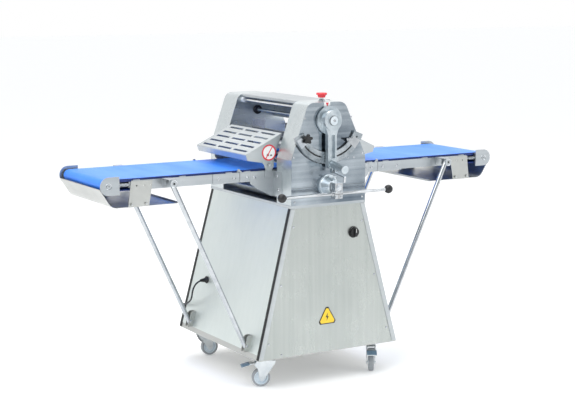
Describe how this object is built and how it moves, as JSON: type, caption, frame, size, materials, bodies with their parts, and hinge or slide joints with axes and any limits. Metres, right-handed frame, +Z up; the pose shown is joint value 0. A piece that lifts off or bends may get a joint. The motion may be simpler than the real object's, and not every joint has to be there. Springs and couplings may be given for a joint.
{
  "type": "dough sheeter",
  "caption": "Dough sheeter on casters: stainless cabinet, folding belt tables on struts, slotted guards, roller gap lever and a cross bar for the belt direction.",
  "frame": {"origin": "on the floor under the middle of the cabinet, half way between the tables and half way between the front and back panels", "axes": "+X along the conveyor towards the right-hand table, -Y towards the operator, +Z up"},
  "size_m": [2, 1.0835, 1.262],
  "materials": {
    "cabinet_steel": "fine vertical brushing",
    "housing_steel": "polished, softly mirrored",
    "frame_steel": "satin stainless sheet",
    "cast_aluminium": "cast and machined",
    "chrome": "bright chrome plate",
    "zinc_plate": "bright zinc plate",
    "belt_blue": "blue conveyor belt, smooth food grade surface",
    "black_rubber": "black edge seal",
    "caster_rubber": "grey tyre on a pale hub",
    "cord_black": "black rubber sheath",
    "dark_plastic": "moulded black plastic",
    "red_plastic": "moulded red button",
    "motor_paint": "grey-blue enamel"
  },
  "bodies": {
    "cabinet": {"base_tray": "cabinet_steel", "side_panels": "cabinet_steel", "front_panel": "cabinet_steel", "back_panel": "cabinet_steel", "corner_seals": "black_rubber", "cabinet_deck": "cabinet_steel", "front_housing": "housing_steel", "front_plate": "housing_steel", "rear_housing": "housing_steel", "top_cover": "housing_steel", "tie_bars": "chrome", "gauge_sector": "cast_aluminium", "lever_boss": "cast_aluminium", "strut_clevises": "cabinet_steel", "inner_frames": "frame_steel", "inner_belts": "belt_blue", "panel_fittings": "dark_plastic", "bearing_blocks": "cast_aluminium", "drive_motor": "motor_paint", "power_cord": "cord_black", "cord_coil": "cord_black", "power_plug": "dark_plastic"},
    "carriage": {"upper_carriage": "cast_aluminium"},
    "upper_roll": {"upper_roller": "chrome"},
    "lower_roll": {"lower_roller": "chrome"},
    "left_drive_roll": {"left_drive_roller": "cast_aluminium"},
    "right_drive_roll": {"right_drive_roller": "cast_aluminium"},
    "thickness_lever": {"lever_arm": "cast_aluminium", "hand_grip": "cast_aluminium"},
    "trigger": {"thumb_trigger": "chrome"},
    "left_stop_clamp": {"left_stop": "cast_aluminium"},
    "left_stop_knob": {"star_knob": "dark_plastic"},
    "right_stop_clamp": {"right_stop": "chrome"},
    "direction_lever": {"shift_lever": "chrome"},
    "estop": {"estop_button": "red_plastic"},
    "switch": {"switch_knob": "dark_plastic"},
    "left_guard_body": {"left_guard": "frame_steel"},
    "right_guard_body": {"right_guard": "frame_steel"},
    "left_table": {"left_table_frame": "frame_steel", "left_table_belt": "belt_blue", "left_end_caps": "frame_steel", "left_catch_tray": "frame_steel"},
    "left_tail_roll": {"left_tail_roller": "cast_aluminium"},
    "left_strut_pair": {"left_struts": "chrome"},
    "right_table": {"right_table_frame": "frame_steel", "right_table_belt": "belt_blue", "right_end_caps": "frame_steel", "right_catch_tray": "frame_steel"},
    "right_tail_roll": {"right_tail_roller": "cast_aluminium"},
    "right_strut_pair": {"right_struts": "chrome"},
    "front_left_swivel": {"front_left_fork": "zinc_plate"},
    "front_left_roll": {"front_left_wheel": "caster_rubber"},
    "rear_left_swivel": {"rear_left_fork": "zinc_plate"},
    "rear_left_roll": {"rear_left_wheel": "caster_rubber"},
    "front_right_swivel": {"front_right_fork": "zinc_plate"},
    "front_right_roll": {"front_right_wheel": "caster_rubber"},
    "rear_right_swivel": {"rear_right_fork": "zinc_plate"},
    "rear_right_roll": {"rear_right_wheel": "caster_rubber"},
    "front_left_pedal": {"front_left_brake": "zinc_plate"},
    "front_right_pedal": {"front_right_brake": "zinc_plate"}
  },
  "joints": [
    {"name": "lever_swing", "type": "hinge", "parent": "cabinet", "child": "thickness_lever", "pos_m": [-0.006, -0.39, 1.15], "axis": [0, 1, 0], "range_deg": [-28, 36]},
    {"name": "roll_gap", "type": "slide", "parent": "cabinet", "child": "carriage", "axis": [0, 0, 1], "range_m": [-0.0161, 0.0125]},
    {"name": "upper_roll_spin", "type": "hinge", "parent": "carriage", "child": "upper_roll", "pos_m": [0, 0, 1], "axis": [0, 1, 0], "continuous": true},
    {"name": "lower_roll_spin", "type": "hinge", "parent": "cabinet", "child": "lower_roll", "pos_m": [0, 0, 0.896], "axis": [0, 1, 0], "continuous": true},
    {"name": "left_drive_spin", "type": "hinge", "parent": "cabinet", "child": "left_drive_roll", "pos_m": [-0.088, 0, 0.913], "axis": [0, 1, 0], "continuous": true},
    {"name": "right_drive_spin", "type": "hinge", "parent": "cabinet", "child": "right_drive_roll", "pos_m": [0.088, 0, 0.913], "axis": [0, 1, 0], "continuous": true},
    {"name": "trigger_squeeze", "type": "hinge", "parent": "thickness_lever", "child": "trigger", "pos_m": [-0.006, -0.408, 0.931], "axis": [1, 0, 0], "range_deg": [-5, 0], "stiffness_Nm_per_rad": 0.3},
    {"name": "left_stop_slide", "type": "hinge", "parent": "cabinet", "child": "left_stop_clamp", "pos_m": [-0.006, -0.378, 1.15], "axis": [0, 1, 0], "range_deg": [0, 4]},
    {"name": "left_knob_turn", "type": "hinge", "parent": "left_stop_clamp", "child": "left_stop_knob", "pos_m": [-0.1209, -0.3855, 1.07538], "axis": [0, 1, 0], "continuous": true},
    {"name": "right_stop_slide", "type": "hinge", "parent": "cabinet", "child": "right_stop_clamp", "pos_m": [-0.006, -0.378, 1.15], "axis": [0, 1, 0], "range_deg": [-8, 0]},
    {"name": "direction_swing", "type": "hinge", "parent": "cabinet", "child": "direction_lever", "pos_m": [-0.006, -0.44, 0.868], "axis": [0, 1, 0], "range_deg": [-12, 12]},
    {"name": "estop_press", "type": "slide", "parent": "cabinet", "child": "estop", "axis": [0, 0, -1], "range_m": [0, 0.004], "stiffness_N_per_m": 400},
    {"name": "switch_turn", "type": "hinge", "parent": "cabinet", "child": "switch", "pos_m": [0.131, -0.361, 0.651], "axis": [0, 1, 0], "range_deg": [-60, 60]},
    {"name": "left_guard_lift", "type": "hinge", "parent": "cabinet", "child": "left_guard_body", "pos_m": [-0.217, 0, 0.954], "axis": [0, 1, 0], "range_deg": [0, 55]},
    {"name": "left_table_fold", "type": "hinge", "parent": "cabinet", "child": "left_table", "pos_m": [-0.356, 0, 0.938], "axis": [0, 1, 0], "range_deg": [0, 80]},
    {"name": "left_tail_spin", "type": "hinge", "parent": "left_table", "child": "left_tail_roll", "pos_m": [-0.962, 0, 0.913], "axis": [0, 1, 0], "continuous": true},
    {"name": "left_strut_swing", "type": "hinge", "parent": "cabinet", "child": "left_strut_pair", "pos_m": [-0.362, 0, 0.184], "axis": [0, 1, 0], "range_deg": [0, 13]},
    {"name": "right_guard_lift", "type": "hinge", "parent": "cabinet", "child": "right_guard_body", "pos_m": [0.217, 0, 0.954], "axis": [0, -1, 0], "range_deg": [0, 55]},
    {"name": "right_table_fold", "type": "hinge", "parent": "cabinet", "child": "right_table", "pos_m": [0.356, 0, 0.938], "axis": [0, -1, 0], "range_deg": [0, 80]},
    {"name": "right_tail_spin", "type": "hinge", "parent": "right_table", "child": "right_tail_roll", "pos_m": [0.962, 0, 0.913], "axis": [0, 1, 0], "continuous": true},
    {"name": "right_strut_swing", "type": "hinge", "parent": "cabinet", "child": "right_strut_pair", "pos_m": [0.362, 0, 0.184], "axis": [0, -1, 0], "range_deg": [0, 13]},
    {"name": "front_left_swivel_turn", "type": "hinge", "parent": "cabinet", "child": "front_left_swivel", "pos_m": [-0.27, -0.3, 0.1], "axis": [0, 0, 1], "continuous": true},
    {"name": "front_left_wheel_turn", "type": "hinge", "parent": "front_left_swivel", "child": "front_left_roll", "pos_m": [-0.29689, -0.28914, 0.04], "axis": [-0.3746, -0.9272, 0], "continuous": true},
    {"name": "front_left_pedal_press", "type": "hinge", "parent": "front_left_swivel", "child": "front_left_pedal", "pos_m": [-0.30338, -0.28651, 0.1], "axis": [-0.3746, -0.9272, 0], "range_deg": [0, 9], "stiffness_Nm_per_rad": 1},
    {"name": "rear_left_swivel_turn", "type": "hinge", "parent": "cabinet", "child": "rear_left_swivel", "pos_m": [-0.27, 0.3, 0.1], "axis": [0, 0, 1], "continuous": true},
    {"name": "rear_left_wheel_turn", "type": "hinge", "parent": "rear_left_swivel", "child": "rear_left_roll", "pos_m": [-0.24128, 0.29596, 0.04], "axis": [0.1392, 0.9903, 0], "continuous": true},
    {"name": "front_right_swivel_turn", "type": "hinge", "parent": "cabinet", "child": "front_right_swivel", "pos_m": [0.27, -0.3, 0.1], "axis": [0, 0, 1], "continuous": true},
    {"name": "front_right_wheel_turn", "type": "hinge", "parent": "front_right_swivel", "child": "front_right_roll", "pos_m": [0.25506, -0.32486, 0.04], "axis": [0.8572, -0.515, 0], "continuous": true},
    {"name": "front_right_pedal_press", "type": "hinge", "parent": "front_right_swivel", "child": "front_right_pedal", "pos_m": [0.25146, -0.33086, 0.1], "axis": [0.8572, -0.515, 0], "range_deg": [0, 9], "stiffness_Nm_per_rad": 1},
    {"name": "rear_right_swivel_turn", "type": "hinge", "parent": "cabinet", "child": "rear_right_swivel", "pos_m": [0.27, 0.3, 0.1], "axis": [0, 0, 1], "continuous": true},
    {"name": "rear_right_wheel_turn", "type": "hinge", "parent": "rear_right_swivel", "child": "rear_right_roll", "pos_m": [0.29222, 0.31864, 0.04], "axis": [-0.6428, 0.766, 0], "continuous": true}
  ],
  "couplings": [
    {"joint": "roll_gap", "follows": "lever_swing", "m_per_rad": -0.025},
    {"joint": "upper_roll_spin", "follows": "lower_roll_spin", "ratio": -1},
    {"joint": "left_drive_spin", "follows": "lower_roll_spin", "ratio": 1.8261},
    {"joint": "right_drive_spin", "follows": "lower_roll_spin", "ratio": 1.8261},
    {"joint": "left_tail_spin", "follows": "lower_roll_spin", "ratio": 1.8261},
    {"joint": "right_tail_spin", "follows": "lower_roll_spin", "ratio": 1.8261},
    {"joint": "left_strut_swing", "follows": "left_table_fold", "ratio": 0.158},
    {"joint": "right_strut_swing", "follows": "right_table_fold", "ratio": 0.158}
  ]
}
